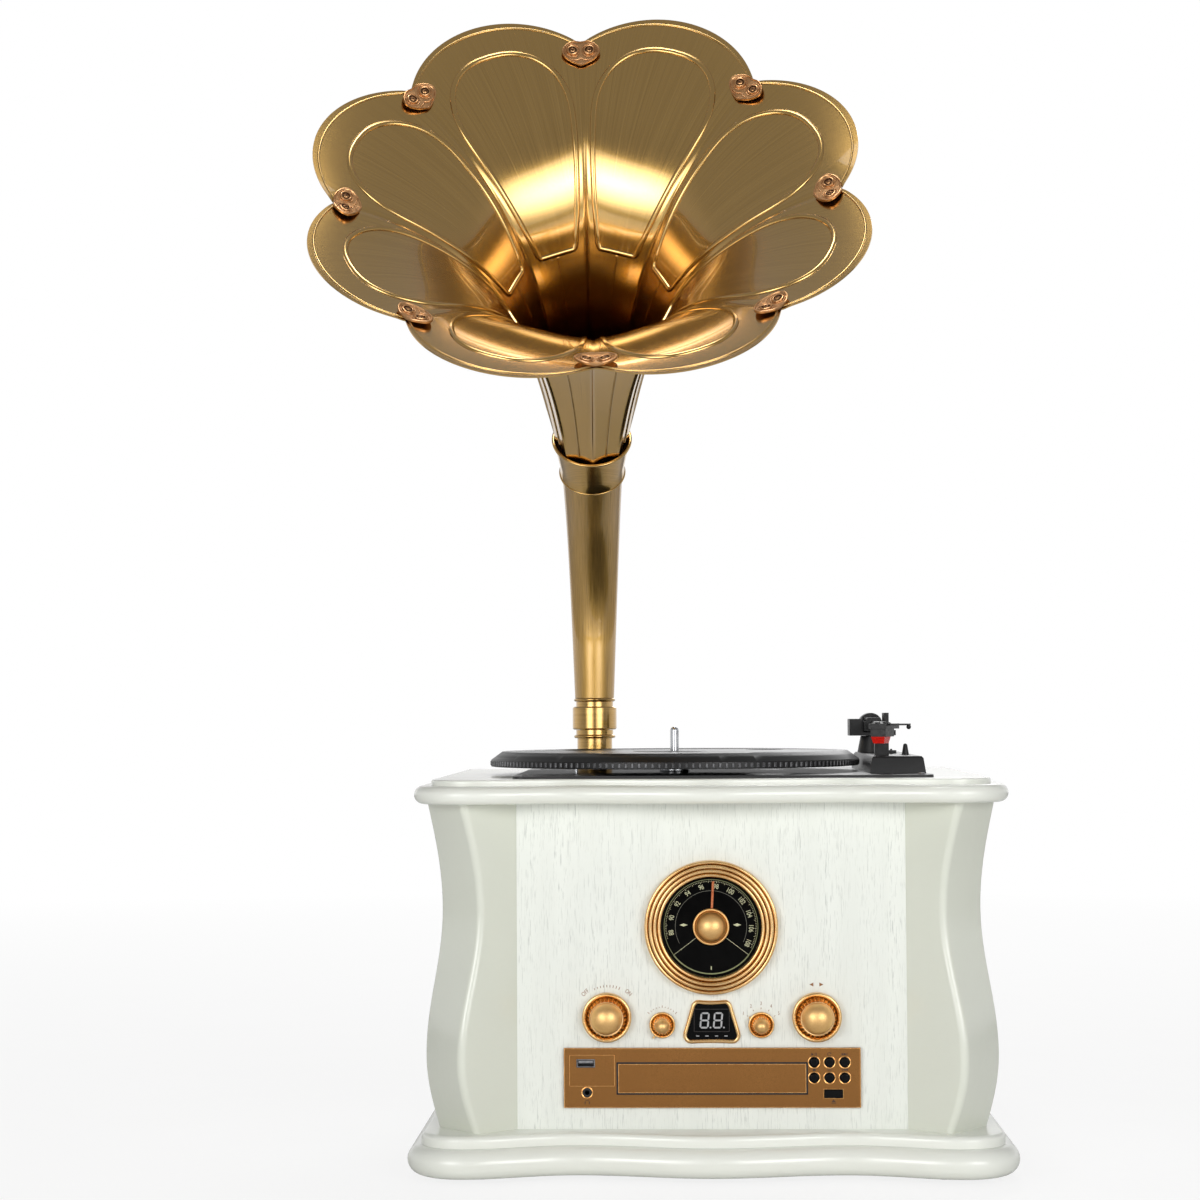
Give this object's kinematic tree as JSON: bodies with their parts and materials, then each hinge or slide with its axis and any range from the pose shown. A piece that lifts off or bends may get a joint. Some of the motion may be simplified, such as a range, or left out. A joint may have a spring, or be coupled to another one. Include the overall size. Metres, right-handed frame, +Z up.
{
  "type": "horn gramophone music centre",
  "caption": "Retro music centre in a white cabinet with moulded posts: record player on top, turning brass flower horn, tuning dial, knobs, disc drawer and buttons.",
  "frame": {"origin": "on the floor, under the middle of the whole object's box", "axes": "+X to the right as seen from the front, +Y to the back, +Z up; the front with the dial faces -Y"},
  "size_m": [0.5304, 0.497, 0.9085],
  "materials": {
    "white_paint": "gloss white paint",
    "white_grain": "white paint over open upright grain",
    "black_board": "matt black board",
    "rubber_black": "matt",
    "deck_black": "satin black",
    "platter_black": "satin black",
    "arm_black": "satin black",
    "steel_bright": "bright",
    "steel_plain": "plain",
    "horn_brass": "brushed antique gold",
    "clip_copper": "bright copper gold",
    "rose_gold": "polished rose gold",
    "bronze_plastic": "satin bronze with fine sparkle",
    "black_gloss": "gloss black",
    "dial_print": "black printed scale",
    "red_stylus": "clear red",
    "tray_black": "satin black",
    "circuit_green": "solder resist",
    "speaker_black": "matt black"
  },
  "bodies": {
    "cabinet": {"feet": "rubber_black", "plinth": "white_paint", "corner_posts": "white_paint", "front_panel": "white_grain", "side_panels": "white_paint", "back_panel": "black_board", "top_board": "white_paint", "fixing_screws": "steel_plain", "deck_plate": "deck_black", "platter_spindle": "steel_bright", "drive_motor": "steel_plain", "drive_belt": "rubber_black", "tonearm_base": "arm_black", "horn_socket": "horn_brass", "horn_driver": "speaker_black", "dial_bezel": "rose_gold", "dial_face": "dial_print", "tuning_belt": "rubber_black", "control_pots": "steel_plain", "tuning_capacitor": "steel_plain", "display_bezel": "rose_gold", "display_window": "black_gloss", "cd_fascia": "bronze_plastic", "cd_drive": "steel_plain", "usb_socket": "steel_plain", "headphone_jack": "speaker_black", "control_board": "circuit_green", "main_board": "circuit_green", "transformer": "steel_plain", "speakers": "speaker_black", "rear_sockets": "speaker_black"},
    "horn": {"horn_swivel": "horn_brass", "horn_elbow": "horn_brass", "horn_collar": "horn_brass", "horn_petals": "horn_brass", "petal_clips": "clip_copper"},
    "platter": {"platter": "platter_black"},
    "pulley": {"motor_pulley": "steel_bright"},
    "arm_yoke": {"tonearm_yoke": "arm_black"},
    "arm": {"tonearm": "arm_black", "cartridge": "arm_black", "stylus": "red_stylus", "counterweight": "arm_black"},
    "cue_lever": {"cue_lever": "arm_black"},
    "speed_switch": {"speed_switch": "arm_black"},
    "volume_knob": {"volume_knob": "rose_gold"},
    "tone_knob": {"tone_knob": "rose_gold"},
    "source_knob": {"source_knob": "rose_gold"},
    "tuning_knob": {"tuning_knob": "rose_gold"},
    "needle": {"dial_needle": "rose_gold", "dial_cap": "rose_gold"},
    "tray": {"cd_tray": "tray_black", "cd_door": "bronze_plastic"},
    "play_button": {"play_button": "black_gloss"},
    "repeat_button": {"repeat_button": "black_gloss"},
    "next_button": {"next_button": "black_gloss"},
    "stop_button": {"stop_button": "black_gloss"},
    "program_button": {"program_button": "black_gloss"},
    "back_button": {"back_button": "black_gloss"},
    "open_button": {"open_button": "black_gloss"}
  },
  "joints": [
    {"name": "horn_turn", "type": "hinge", "parent": "cabinet", "child": "horn", "pos_m": [-0.05984, 0.20851, 0.345], "axis": [0, 0, 1], "range_deg": [-80, 80]},
    {"name": "platter_spin", "type": "hinge", "parent": "cabinet", "child": "platter", "pos_m": [0.01016, 0.04351, 0.312], "axis": [0, 0, 1], "continuous": true},
    {"name": "pulley_spin", "type": "hinge", "parent": "cabinet", "child": "pulley", "pos_m": [-0.06621, -0.03286, 0.308], "axis": [0, 0, 1], "continuous": true},
    {"name": "arm_swing", "type": "hinge", "parent": "cabinet", "child": "arm_yoke", "pos_m": [0.17616, 0.13451, 0.327], "axis": [0, 0, -1], "range_deg": [0, 46]},
    {"name": "arm_lift", "type": "hinge", "parent": "arm_yoke", "child": "arm", "pos_m": [0.17616, 0.13451, 0.336], "axis": [-1, 0, 0], "range_deg": [0, 12]},
    {"name": "cue_tilt", "type": "hinge", "parent": "cabinet", "child": "cue_lever", "pos_m": [0.19216, -0.00149, 0.3075], "axis": [-1, 0, 0], "range_deg": [0, 35]},
    {"name": "speed_slide", "type": "slide", "parent": "cabinet", "child": "speed_switch", "axis": [0, 1, 0], "range_m": [0, 0.012]},
    {"name": "volume_turn", "type": "hinge", "parent": "cabinet", "child": "volume_knob", "pos_m": [-0.04134, -0.10149, 0.1196], "axis": [0, 1, 0], "range_deg": [0, 300]},
    {"name": "tone_turn", "type": "hinge", "parent": "cabinet", "child": "tone_knob", "pos_m": [0.00016, -0.10149, 0.1137], "axis": [0, 1, 0], "range_deg": [0, 270]},
    {"name": "source_turn", "type": "hinge", "parent": "cabinet", "child": "source_knob", "pos_m": [0.07416, -0.10149, 0.1137], "axis": [0, 1, 0], "range_deg": [0, 116]},
    {"name": "tuning_turn", "type": "hinge", "parent": "cabinet", "child": "tuning_knob", "pos_m": [0.11566, -0.10149, 0.1196], "axis": [0, 1, 0], "range_deg": [-360, 360]},
    {"name": "needle_turn", "type": "hinge", "parent": "cabinet", "child": "needle", "pos_m": [0.03716, -0.10149, 0.1865], "axis": [0, 1, 0], "range_deg": [-115, 115]},
    {"name": "tray_slide", "type": "slide", "parent": "cabinet", "child": "tray", "axis": [0, -1, 0], "range_m": [0, 0.135]},
    {"name": "play_button_press", "type": "slide", "parent": "cabinet", "child": "play_button", "axis": [0, 1, 0], "range_m": [0, 0.0008], "stiffness_N_per_m": 200},
    {"name": "repeat_button_press", "type": "slide", "parent": "cabinet", "child": "repeat_button", "axis": [0, 1, 0], "range_m": [0, 0.0008], "stiffness_N_per_m": 200},
    {"name": "next_button_press", "type": "slide", "parent": "cabinet", "child": "next_button", "axis": [0, 1, 0], "range_m": [0, 0.0008], "stiffness_N_per_m": 200},
    {"name": "stop_button_press", "type": "slide", "parent": "cabinet", "child": "stop_button", "axis": [0, 1, 0], "range_m": [0, 0.0008], "stiffness_N_per_m": 200},
    {"name": "program_button_press", "type": "slide", "parent": "cabinet", "child": "program_button", "axis": [0, 1, 0], "range_m": [0, 0.0008], "stiffness_N_per_m": 200},
    {"name": "back_button_press", "type": "slide", "parent": "cabinet", "child": "back_button", "axis": [0, 1, 0], "range_m": [0, 0.0008], "stiffness_N_per_m": 200},
    {"name": "open_button_press", "type": "slide", "parent": "cabinet", "child": "open_button", "axis": [0, 1, 0], "range_m": [0, 0.0008], "stiffness_N_per_m": 200}
  ],
  "couplings": [
    {"joint": "pulley_spin", "follows": "platter_spin", "ratio": 15},
    {"joint": "needle_turn", "follows": "tuning_turn", "ratio": 0.3125}
  ]
}
